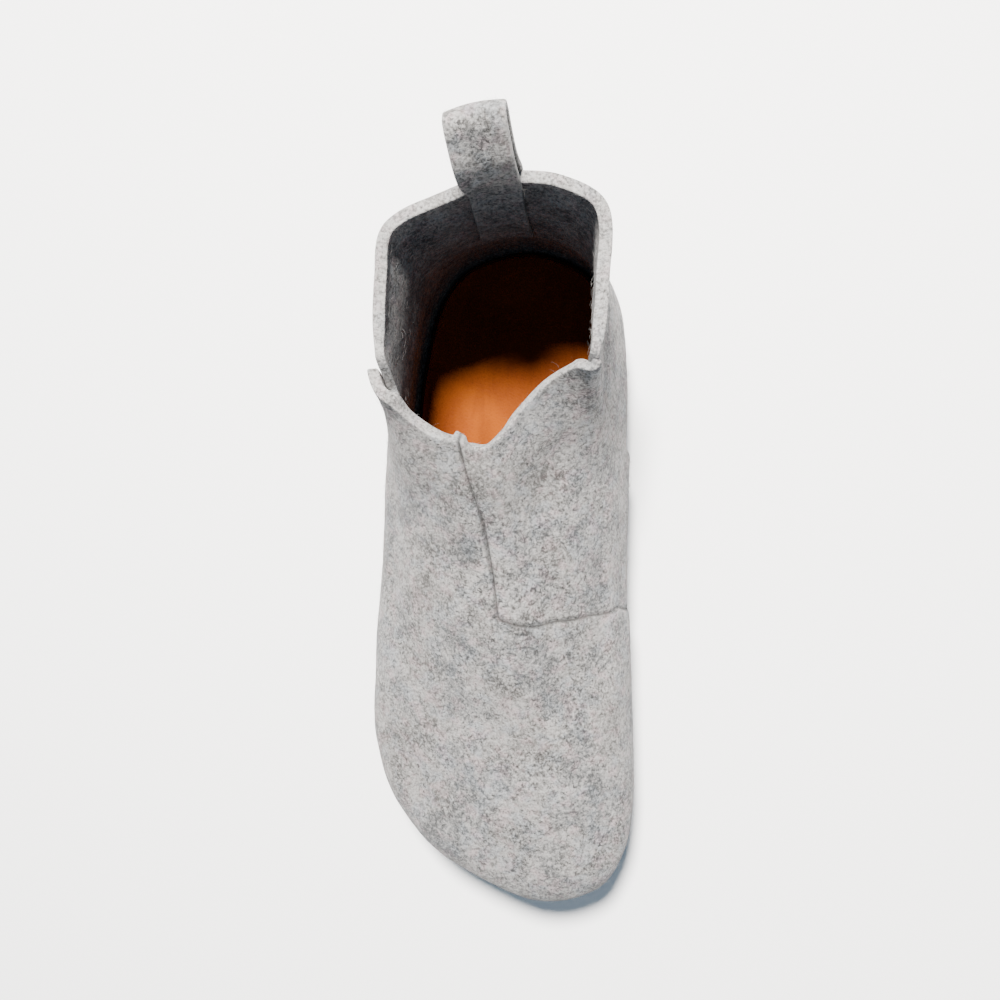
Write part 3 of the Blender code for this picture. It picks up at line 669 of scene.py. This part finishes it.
def tread():
    """Tread slab with a crumb surface: grains pressed up from the flat of the ground."""
    turn = np.arange(0.0, 360.0, 0.6)
    inset = smooth(TURNS, TREAD_STEPS, turn, period=360.0)
    rounding = 0.2 * TREAD_THICK
    levels = ((rounding, 0.0), (0.45 * rounding, 0.22 * rounding), (0.0, rounding),
              (0.0, 0.5 * TREAD_THICK), (0.0, 0.92 * TREAD_THICK), (0.0003, TREAD_THICK))
    rings = np.stack([sole_ring(turn, inset + extra, lambda along, up=up: spring(along) + up)
                      for extra, up in levels])
    rough = crumbs(rings)
    out = outward(turn)
    rings[1:-1, :, 0] += out[None, :, 1] * (rough[1:-1] - 0.00025)
    rings[1:-1, :, 1] -= out[None, :, 0] * (rough[1:-1] - 0.00025)
    top = lambda points, across: spring(along_of(points)) + TREAD_THICK
    bottom = lambda points, across: spring(along_of(points)) + 0.00045 - crumbs(points)
    return pad("crumb_tread", rings, top, bottom, 3, 116)


def crumbs(points):
    """Height of the crumb surface: crowded grains of two sizes, up to about half a millimetre."""
    coarse = np.clip(lumps(points, 0.0026, 11), -0.6, 1.0)
    fine = lumps(points, 0.0013, 13)
    return 0.00016 + 0.00018 * coarse + 0.00012 * fine


def midsole():
    """Smooth wedge, its wall flaring out to the felt with a soft lip at the rim."""
    turn = np.arange(0.0, 360.0, 1.0)
    foot_inset = smooth(TURNS, TREAD_STEPS, turn, period=360.0) - SOLE_LEDGE
    foot_height = lambda along: spring(along) + TREAD_THICK + FIT
    heights, flares = zip(*MIDSOLE_WALL)
    rings = []
    for height in spread(26, [(1.0, 0.06, 3.0), (0.0, 0.05, 2.0)]):
        flare = (np.interp(height, heights, flares) + float(smooth(heights, flares, np.array(height)))) * 0.5
        level = lambda along, share=height: foot_height(along) * (1 - share) + stack(along) * share
        rings.append(sole_ring(turn, foot_inset * (1 - flare), level))
    rings = np.stack(rings)
    out = outward(turn)
    wave = 0.00012 * lumps(rings, 0.018, 17) + 0.00005 * lumps(rings, 0.004, 19)
    rings[1:-1, :, 0] += out[None, :, 1] * wave[1:-1]
    rings[1:-1, :, 1] -= out[None, :, 0] * wave[1:-1]
    top = lambda points, across: stack(along_of(points))
    bottom = lambda points, across: foot_height(along_of(points))
    return pad("rubber_midsole", rings, top, bottom, 3, 3)


def footbed():
    """Leather-covered bed inside the felt: a cup at the heel, raised edges and an arch."""
    turn = np.arange(0.0, 360.0, 1.5)
    inset = FELT - OVERHANG + 3 * FIT
    base = lambda along: stack(along) + FIT
    edge = BED_THICK + CUP_DEPTH * smooth(BED_TURNS, BED_EDGE, turn, period=360.0)
    rings = [sole_ring(turn, inset, base)]
    for share, extra in ((0.5, 0.0), (0.84, 0.0), (0.91, 0.0002), (0.96, 0.0006), (1.0, 0.0014)):
        ring = sole_ring(turn, inset + extra, base)
        ring[:, 2] += edge * share
        rings.append(ring)

    def bed(points, across):
        """Middle at the bed's thickness, rising to its edges; the arch lifts the inner side."""
        along = along_of(points)
        from_middle = np.abs(across) ** 2.6
        lift = np.interp(along / SOLE_LENGTH, (0.0, 0.25, 0.5, 0.75, 1.0), (0.8, 0.72, 0.45, 0.3, 0.2))
        heel_end = (1 - ease(along, 0.0, 0.12 * SOLE_LENGTH)) * 0.7
        arch = np.exp(-((along / SOLE_LENGTH - 0.42) / 0.13) ** 2) * ease(across, 0.1, 1.0)
        toe_end = ease(along, 0.93 * SOLE_LENGTH, SOLE_LENGTH) * 0.2
        rise = CUP_DEPTH * np.maximum(lift * from_middle, np.maximum(heel_end, toe_end))
        return base(along) + BED_THICK + rise + ARCH_LIFT * 0.35 * arch + 0.00015 * lumps(points, 0.02, 23)

    under = lambda points, across: base(along_of(points))
    return pad("leather_footbed", np.stack(rings), bed, under, 40, 3)


def pull_loop():
    """Folded felt strip that straddles the back of the collar, with a long inner stay leg."""
    width = 1.0 - 2.0 * spread(34, [(0.0, 0.05, 3.0), (1.0, 0.05, 3.0)])
    span = COLLAR_BACK_HEIGHT - HEEL_STACK
    inner = -(FELT + FIT + LOOP_FELT / 2)
    outer = FIT + LOOP_FELT / 2
    middle = (inner + outer) / 2
    apart = (outer - inner) / 2
    wide_apart = (LOOP_EYE + LOOP_FELT) / 2
    ends = felt_face(np.array([LOOP_PROBE, -LOOP_PROBE]), np.ones(2))
    side = ends[1] - ends[0]
    reach = np.linalg.norm(side)
    out = np.cross((0.0, 0.0, 1.0), side / reach)
    turn = (width * LOOP_WIDTH + 2.0 * LOOP_ASIDE) * LOOP_PROBE / reach
    top = np.ones_like(turn)
    top_edge = felt_face(turn, top)
    top_out = felt_frame(turn, top)[0]
    centre = felt_face(turn[17:18], top[:1])[0]
    above = np.array([0.0, 0.0, 1.0])
    stations = np.linspace(0.0, 1.0, 101)
    leans = np.radians(LOOP_LEAN_LOW + (LOOP_LEAN_TOP - LOOP_LEAN_LOW) * ease(stations, 0.15, 0.75))
    risen = np.cumsum(np.cos(leans)) * LOOP_TALL / 101
    gone_back = np.cumsum(np.sin(leans)) * LOOP_TALL / 101
    rows = []
    for depth in np.linspace(LOOP_STAY_LEG, 0.0, 40):
        rise = np.full_like(turn, 1.0 - depth / span)
        rows.append(felt_face(turn, rise) + felt_frame(turn, rise)[0] * inner)
    for angle in np.linspace(0.0, math.pi, 72)[1:-1]:
        part = -math.cos(angle)
        share = math.sin(angle) ** 0.75
        wide = apart + (wide_apart - apart) * ease(share, 0.1, 0.6)
        offset = middle + math.copysign(min(1.0, 1.9 * abs(part)) ** 0.5, part) * wide
        drift = ease(share, 0.0, 0.35)
        lean = float(np.interp(share, stations, leans))
        lift = above * np.interp(share, stations, risen) + out * np.interp(share, stations, gone_back)
        fold = out * math.cos(lean) - above * math.sin(lean)
        base = top_edge.copy()
        base[:, 2] = centre[2]
        direction = top_out * (1 - drift) + fold * drift
        direction = direction / np.linalg.norm(direction, axis=-1, keepdims=True)
        rows.append(base + lift + direction * offset)
    for depth in np.linspace(0.0, LOOP_OUTER_LEG, 20):
        rise = np.full_like(turn, 1.0 - depth / span)
        rows.append(felt_face(turn, rise) + felt_frame(turn, rise)[0] * outer)
    path = np.stack(rows)
    for _ in range(2):
        path[1:-1] = (path[:-2] + 2 * path[1:-1] + path[2:]) / 4
    along = np.gradient(path, axis=0)
    over = np.gradient(path, axis=1)
    normal = np.cross(over, along)
    normal = normal / np.linalg.norm(normal, axis=-1, keepdims=True)
    travelled = np.concatenate([[0.0], np.cumsum(np.linalg.norm(np.diff(path[:, 17], axis=0), axis=-1))])
    from_side = (1.0 - np.abs(width)) * LOOP_WIDTH / 2
    from_end = np.minimum(travelled, travelled[-1] - travelled)
    gap = np.minimum(from_side[None, :], from_end[:, None])
    half = LOOP_FELT / 2 - 0.75 * pinch(gap)
    wave = 0.00012 * lumps(path, 0.007, 29)
    # Edge mark: where the felt's colour gets a painted highlight on the loop's cut edges
    edge = 1.0 - ease(gap, 0.0, 0.0010)
    outer = path + normal * (half + wave)[..., None]
    inner = path - normal * (half - wave)[..., None]
    return slab("heel_loop", outer, inner, {"edge": edge})


def scatter(piece, count, seed):
    """Places and outward directions picked evenly over a piece's faces."""
    faces = piece.data.polygons
    area = np.empty(len(faces))
    centre = np.empty(len(faces) * 3)
    out = np.empty(len(faces) * 3)
    faces.foreach_get("area", area)
    faces.foreach_get("center", centre)
    faces.foreach_get("normal", out)
    picked = np.random.default_rng(seed).choice(len(area), count, p=area / area.sum())
    return centre.reshape(-1, 3)[picked] - SHIFT, out.reshape(-1, 3)[picked]


def fuzz(pieces):
    """Loose wool fibres: each springs from the felt, bends over it and ends in a point.

    A fibre is a line along its heading, lifted by a sine and turned aside by the square
    of its length, and has a triangle for its section.
    """
    picks = [scatter(piece, FIBRES[piece.name], 31 + FIBRES[piece.name]) for piece in pieces]
    start = np.concatenate([places for places, outs in picks])
    out = np.concatenate([outs for places, outs in picks])
    count = len(start)
    rng = np.random.default_rng(41)
    heading = unit(np.cross(out, rng.normal(size=(count, 3))))
    side = np.cross(out, heading)
    length = rng.uniform(0.0016, FIBRE_LONG, count)[:, None]
    lift = rng.uniform(0.06, 0.34, count)[:, None]
    curl = rng.normal(0.0, 0.45, count)[:, None]
    share = np.linspace(0.0, 1.0, 6)[:, None, None]
    arch = lift * np.sin(share * math.pi * 0.75) - 0.03
    path = start + length * (share * heading + arch * out + curl * share**2 * side)
    ahead = np.gradient(path, axis=0)
    first = unit(np.cross(ahead, out))
    second = unit(np.cross(ahead, first))
    radius = FIBRE_THICK * (1.0 - 0.7 * share[:-1])
    rings = [path[:-1] + radius * (first[:-1] * math.cos(angle) + second[:-1] * math.sin(angle))
             for angle in (0.0, 2.0 * math.pi / 3.0, 4.0 * math.pi / 3.0)]
    points = np.concatenate([np.stack(rings, axis=2).reshape(-1, 3), path[-1]])
    index = np.arange(5 * count * 3).reshape(5, count, 3)
    around = np.roll(index, -1, axis=2)
    walls = np.stack([index[:-1], around[:-1], around[1:], index[1:]], -1).reshape(-1, 4)
    tips = np.broadcast_to((5 * count * 3 + np.arange(count))[:, None], (count, 3))
    ends = np.stack([index[-1], around[-1], tips], -1).reshape(-1, 3)
    roots = index[0, :, ::-1]
    shade = rng.uniform(0.0, 1.0, count)
    shades = np.concatenate([np.tile(np.repeat(shade, 3), 5), shade])
    return skin("loose_fibres", points, walls.tolist() + ends.tolist() + roots.tolist(), {"shade": shades})


def unit(vectors):
    """The same directions, one long."""
    return vectors / np.linalg.norm(vectors, axis=-1, keepdims=True)


class Wire:
    """An output socket that arithmetic works on; each operation adds its Math node."""

    def __init__(self, net, socket):
        self.net = net
        self.socket = socket

    def maths(self, operation, *others):
        """Math node on this wire and others."""
        return self.net.add("ShaderNodeMath", {"operation": operation}, dict(enumerate((self, *others))))

    def __add__(self, other):
        return self.maths("ADD", other)

    def __mul__(self, other):
        return self.maths("MULTIPLY", other)

    def __sub__(self, other):
        return self.maths("SUBTRACT", other)

    def __rsub__(self, other):
        return self.net.add("ShaderNodeMath", {"operation": "SUBTRACT"}, {0: other, 1: self})

    __radd__ = __add__
    __rmul__ = __mul__

    def step(self, low, high):
        """0 below low and 1 above high, with a soft step between."""
        settings = {"interpolation_type": "SMOOTHSTEP"}
        return self.net.add("ShaderNodeMapRange", settings, {0: self, 1: low, 2: high, 3: 0.0, 4: 1.0})


class Net:
    """One material's nodes; add takes a node's type, its settings and its sockets."""

    def __init__(self, name):
        self.material = bpy.data.materials.new(name)
        self.material.use_nodes = True
        self.nodes = self.material.node_tree.nodes
        self.links = self.material.node_tree.links
        self.shader = self.nodes["Principled BSDF"]

    def add(self, kind, settings=None, sockets=None, out=0):
        """New node with its settings, then its sockets; the wire of its output."""
        node = self.nodes.new(kind)
        for key, value in (settings or {}).items():
            setattr(node, key, value)
        for key, value in (sockets or {}).items():
            self.join(node.inputs[key], value)
        return Wire(self, node.outputs[out])

    def join(self, target, value):
        """Link a wire to a socket, or set the socket's own value."""
        if isinstance(value, Wire):
            self.links.new(value.socket, target)
        else:
            target.default_value = value

    def place(self, stretch=(1.0, 1.0, 1.0), turned=(0.0, 0.0, 0.0)):
        """Object coordinates, stretched and turned."""
        coordinates = self.add("ShaderNodeTexCoord", out="Object")
        return self.add("ShaderNodeMapping", None, {0: coordinates, "Rotation": turned, "Scale": stretch})

    def noise(self, where, scale, detail=3.0, rough=0.55, bend=0.0):
        """Cloudy noise from 0 to 1; scale is in lumps per metre."""
        sockets = {"Vector": where, "Scale": scale, "Detail": detail, "Roughness": rough, "Distortion": bend}
        return self.add("ShaderNodeTexNoise", None, sockets)

    def cells(self, where, scale, out="Distance"):
        """Distance to the nearest of many scattered points."""
        return self.add("ShaderNodeTexVoronoi", None, {"Vector": where, "Scale": scale}, out)

    def mix(self, share, first, second, blend="MIX"):
        """One colour into another."""
        settings = {"data_type": "RGBA", "blend_type": blend}
        return self.add("ShaderNodeMix", settings, {0: share, 6: first, 7: second}, 2)

    def bump(self, height, distance, strength, under=None):
        """Normal from a height, over another bump's normal."""
        sockets = {"Height": height, "Distance": distance, "Strength": strength}
        if under is not None:
            sockets["Normal"] = under
        return self.add("ShaderNodeBump", None, sockets)

    def finish(self, **values):
        """Set the shader's sockets by name, with _ for a space."""
        for key, value in values.items():
            self.join(self.shader.inputs[key.replace("_", " ")], value)
        return self.material


def rgb(red, green, blue):
    """Shader colour from a swatch's red, green and blue out of 255."""
    return tuple((part / 255.0) ** 2.2 for part in (red, green, blue)) + (1.0,)


def felt_grey(tone, warm=1.03):
    """Grey of the felt at a tone from 0 to 1, a little warm."""
    return (tone * warm, tone, tone / warm, 1.0)


def felt_finish():
    """Milled melange wool: clouded greys with faint tints, curly fibres and dark specks."""
    net = Net("grey_melange_felt")
    plain = net.place()
    clouds = net.noise(plain, 95.0, 2.0, 0.5, 0.3)
    warmth = net.noise(plain, 48.0, 2.0, 0.5)
    mottle = net.noise(plain, 520.0, 2.0, 0.60, 0.5)
    grain = net.noise(plain, 1050.0, 2.0, 0.6)
    strands = [net.noise(net.place(stretch, turned), 1.0, 2.0, 0.55, 1.2) for stretch, turned in (
        ((2900.0, 700.0, 2900.0), (0.3, 0.2, 0.5)),
        ((700.0, 2900.0, 2900.0), (-0.4, 0.3, -0.2)),
        ((2900.0, 2900.0, 700.0), (0.2, -0.5, 0.9)),
    )]
    fibres = (strands[0] + strands[1] + strands[2]) * 0.3333
    dark_fibres = strands[1].step(0.57, 0.72) * strands[2].step(0.44, 0.60)
    pale_fibres = strands[0].step(0.54, 0.70)
    crowding = net.noise(plain, 120.0, 2.0, 0.6)
    specks = net.noise(plain, 560.0, 1.0, 0.5, 0.9).step(0.62, 0.72) * crowding.step(0.36, 0.60)
    tone = clouds * 0.42 + mottle * 0.62 + grain * 0.62 + fibres * 0.60 - 1.13
    colour = net.mix((tone * 3.1 + 0.5).step(-0.15, 1.15), felt_grey(0.022), felt_grey(0.275))
    colour = net.mix(warmth.step(0.40, 0.62) * 0.22, colour, felt_grey(0.150, 1.10))
    colour = net.mix(warmth.step(0.50, 0.36) * 0.20, colour, felt_grey(0.125, 0.94))
    colour = net.mix(pale_fibres * 0.28, colour, felt_grey(0.34))
    colour = net.mix(dark_fibres * 0.65, colour, felt_grey(0.028))
    colour = net.mix(specks * 0.85, colour, felt_grey(0.018))
    rosy = net.noise(plain, 170.0, 2.0, 0.55).step(0.50, 0.64)
    bluish = net.noise(plain, 125.0, 2.0, 0.55, 0.4).step(0.50, 0.64)
    colour = net.mix(rosy, colour, (1.08, 0.965, 0.99, 1.0), "MULTIPLY")
    colour = net.mix(bluish, colour, (0.93, 0.98, 1.03, 1.0), "MULTIPLY")
    # Painted highlight: the cut edges lighter, speckled by the grain
    edge = net.add("ShaderNodeAttribute", {"attribute_name": "edge"}, out="Fac")
    colour = net.mix(edge * (grain * 1.0 - 0.22), colour, felt_grey(0.35))
    # Painted shade: the felt darkened along the seam's cut and the lap's groove
    seam = net.add("ShaderNodeAttribute", {"attribute_name": "seam"}, out="Fac")
    colour = net.mix(seam * 0.85, colour, felt_grey(0.012))
    height = mottle * 0.7 + fibres * 0.9 + grain * 0.5
    normal = net.bump(height, 0.0010, 0.55)
    return net.finish(Base_Color=colour, Roughness=0.97, Normal=normal, Sheen_Weight=0.12,
                      Sheen_Roughness=0.6, Specular_IOR_Level=0.10)


def leather_finish():
    """Tan leather: fine pores, soft creases, a little darker where it is handled."""
    net = Net("tan_leather")
    plain = net.place()
    cloud = net.noise(plain, 32.0, 3.0, 0.6)
    streak = net.noise(net.place((1.0, 0.25, 1.0)), 140.0, 4.0, 0.6, 0.6)
    pores = net.cells(plain, 1100.0)
    fine = net.noise(plain, 900.0, 3.0, 0.6)
    colour = net.mix(cloud.step(0.3, 0.7), rgb(104, 48, 4), rgb(122, 61, 6))
    colour = net.mix(streak.step(0.35, 0.75) * 0.4, colour, rgb(78, 34, 5))
    colour = net.mix(pores.step(0.28, 0.05) * 0.35, colour, rgb(50, 21, 4))
    height = pores * 0.5 + fine * 0.4 + streak * 0.3
    normal = net.bump(height, 0.0005, 0.35)
    roughness = 0.60 + cloud * 0.14
    return net.finish(Base_Color=colour, Roughness=roughness, Normal=normal, Specular_IOR_Level=0.08)


def rubber_finish():
    """Smooth black rubber of the midsole's wall: faint pits, a dull bloom."""
    net = Net("smooth_black_rubber")
    plain = net.place()
    cloud = net.noise(plain, 60.0, 3.0, 0.6)
    pits = net.cells(plain, 900.0).step(0.30, 0.08) * net.noise(plain, 300.0).step(0.48, 0.62)
    fine = net.noise(plain, 2200.0, 3.0, 0.6)
    colour = net.mix(cloud.step(0.3, 0.7), rgb(22, 23, 25), rgb(32, 33, 36))
    colour = net.mix(pits * 0.6, colour, rgb(20, 20, 22))
    normal = net.bump(fine * 0.4 - pits, 0.0006, 0.45)
    return net.finish(Base_Color=colour, Roughness=0.55 + cloud * 0.2, Normal=normal, Specular_IOR_Level=0.35)


def crumb_finish():
    """Black crumb rubber: packed grains with small glints painted into its colour as highlights."""
    net = Net("black_crumb_rubber")
    plain = net.place()
    grains = net.cells(net.place((0.6, 1.35, 1.0), (0.0, 0.0, 0.25)), 620.0)
    small = net.cells(net.place((0.8, 1.3, 1.0), (0.0, 0.0, -0.4)), 1300.0)
    fine = net.noise(plain, 1600.0, 4.0, 0.7)
    glint = net.cells(net.place((0.6, 1.35, 1.0), (0.0, 0.0, 0.25)), 900.0, "Color")
    bright = net.add("ShaderNodeSeparateColor", None, {0: glint}).step(0.80, 0.97)
    colour = net.mix(fine.step(0.3, 0.7), rgb(9, 9, 10), rgb(26, 26, 27))
    # Painted highlight: pale glint flecks in the base colour, where the rubber is also made glossier
    colour = net.mix(bright * 0.55, colour, rgb(104, 104, 106))
    normal = net.bump((1.0 - grains) * 0.9 + (1.0 - small) * 0.4 + fine * 0.4, 0.0013, 0.9)
    return net.finish(Base_Color=colour, Roughness=0.62 - bright * 0.30, Normal=normal)


def fibre_finish():
    """Single wool fibres, some pale and some dark."""
    net = Net("wool_fibre")
    shade = net.add("ShaderNodeAttribute", {"attribute_name": "shade"}, out="Fac")
    tint = net.noise(net.place(), 400.0, 2.0)
    colour = net.mix(shade.step(0.25, 0.75), felt_grey(0.05), felt_grey(0.30))
    colour = net.mix(tint.step(0.4, 0.6) * 0.3, colour, felt_grey(0.24))
    return net.finish(Base_Color=colour, Roughness=0.9, Normal=net.bump(tint, 0.0002, 0.2))


def dress(piece, material, body_slot, *nodes):
    """Give a piece its material and its body, and hide the nodes that it stands for; body_slot is not used.
    """
    piece.data.materials.append(material)
    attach(piece, "root")
    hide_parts(*nodes)
    return piece


# From the shoe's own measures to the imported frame
SHIFT = set_in_frame()


def make_shoe():
    """All of the shoe's visible pieces."""
    felt = felt_finish()
    quarter = dress(back_quarter(), felt, "felt", "upper")
    flap = dress(front_flap(), felt, "felt", "upper")
    loop = dress(pull_loop(), felt, "felt", "pull_loop")
    dress(fuzz((quarter, flap, loop)), fibre_finish(), "felt", "upper")
    dress(footbed(), leather_finish(), "footbed", "insole")
    dress(midsole(), rubber_finish(), "midsole", "midsole")
    dress(tread(), crumb_finish(), "tread", "outsole")


# Where the camera stood over the shoe: height, across and along from the heel, and
# how far the shoe was turned under it. The picture's own numbers are in pixels.
CAMERA_HEIGHT = 0.4617
CAMERA_ACROSS = 0.0608
CAMERA_ALONG = 0.1050
SHOE_TURNED = 0.0567
FOCAL_PIXELS = 1015.2
PICTURE_PIXELS = 1000.0
SHOE_MIDDLE_PIXEL = 340.0
SENSOR_MM = 36.0


def make_camera():
    """Camera straight above, as in the picture, swung sideways to hold the shoe in the middle."""
    data = bpy.data.cameras.new("camera")
    data.sensor_width = SENSOR_MM
    data.lens = FOCAL_PIXELS / PICTURE_PIXELS * SENSOR_MM
    data.clip_start = 0.01
    camera = bpy.data.objects.new("camera", data)
    bpy.context.scene.collection.objects.link(camera)
    right = Vector((1.0, SHOE_TURNED, 0.0)).normalized()
    up = Vector((-SHOE_TURNED, 1.0, 0.0)).normalized()
    back = Vector((0.0, 0.0, 1.0))
    swing = math.atan((PICTURE_PIXELS / 2 - SHOE_MIDDLE_PIXEL) / FOCAL_PIXELS)
    turned_back = back * math.cos(swing) + right * math.sin(swing)
    turned_right = right * math.cos(swing) - back * math.sin(swing)
    matrix = Matrix((turned_right, up, turned_back)).transposed().to_4x4()
    spot = place(np.array(CAMERA_ALONG), np.array(CAMERA_ACROSS), np.array(CAMERA_HEIGHT)) + SHIFT
    matrix.translation = Vector(spot.tolist())
    camera.matrix_world = matrix
    bpy.context.scene.camera = camera


def make_light(name, spot, size, power, colour):
    """Large soft panel at a spot, facing the shoe."""
    data = bpy.data.lights.new(name, "AREA")
    data.shape = "DISK"
    data.size = size
    data.energy = power
    data.color = colour
    light = bpy.data.objects.new(name, data)
    bpy.context.scene.collection.objects.link(light)
    light.location = spot
    light.rotation_euler = (Vector(PANEL_AIM) - Vector(spot)).to_track_quat("-Z", "Y").to_euler()


def make_studio():
    """Plain pale floor, an even pale surround and a soft panel."""
    floor_net = Net("pale_floor")
    floor_net.finish(Base_Color=FLOOR_WHITE, Roughness=0.7)
    mesh = bpy.data.meshes.new("floor")
    corners = [(x * FLOOR_HALF, y * FLOOR_HALF, 0.0) for x, y in ((-1, -1), (1, -1), (1, 1), (-1, 1))]
    mesh.from_pydata(corners, [], [(0, 1, 2, 3)])
    floor = bpy.data.objects.new("floor", mesh)
    floor.data.materials.append(floor_net.material)
    bpy.context.scene.collection.objects.link(floor)
    world = bpy.data.worlds.new("surround")
    world.use_nodes = True
    background = world.node_tree.nodes["Background"]
    background.inputs["Color"].default_value = SURROUND_COLOUR
    background.inputs["Strength"].default_value = SURROUND_STRENGTH
    bpy.context.scene.world = world
    make_light("key_panel", PANEL_SPOT, PANEL_SIZE, PANEL_POWER, PANEL_COLOUR)


make_shoe()
make_studio()
make_camera()
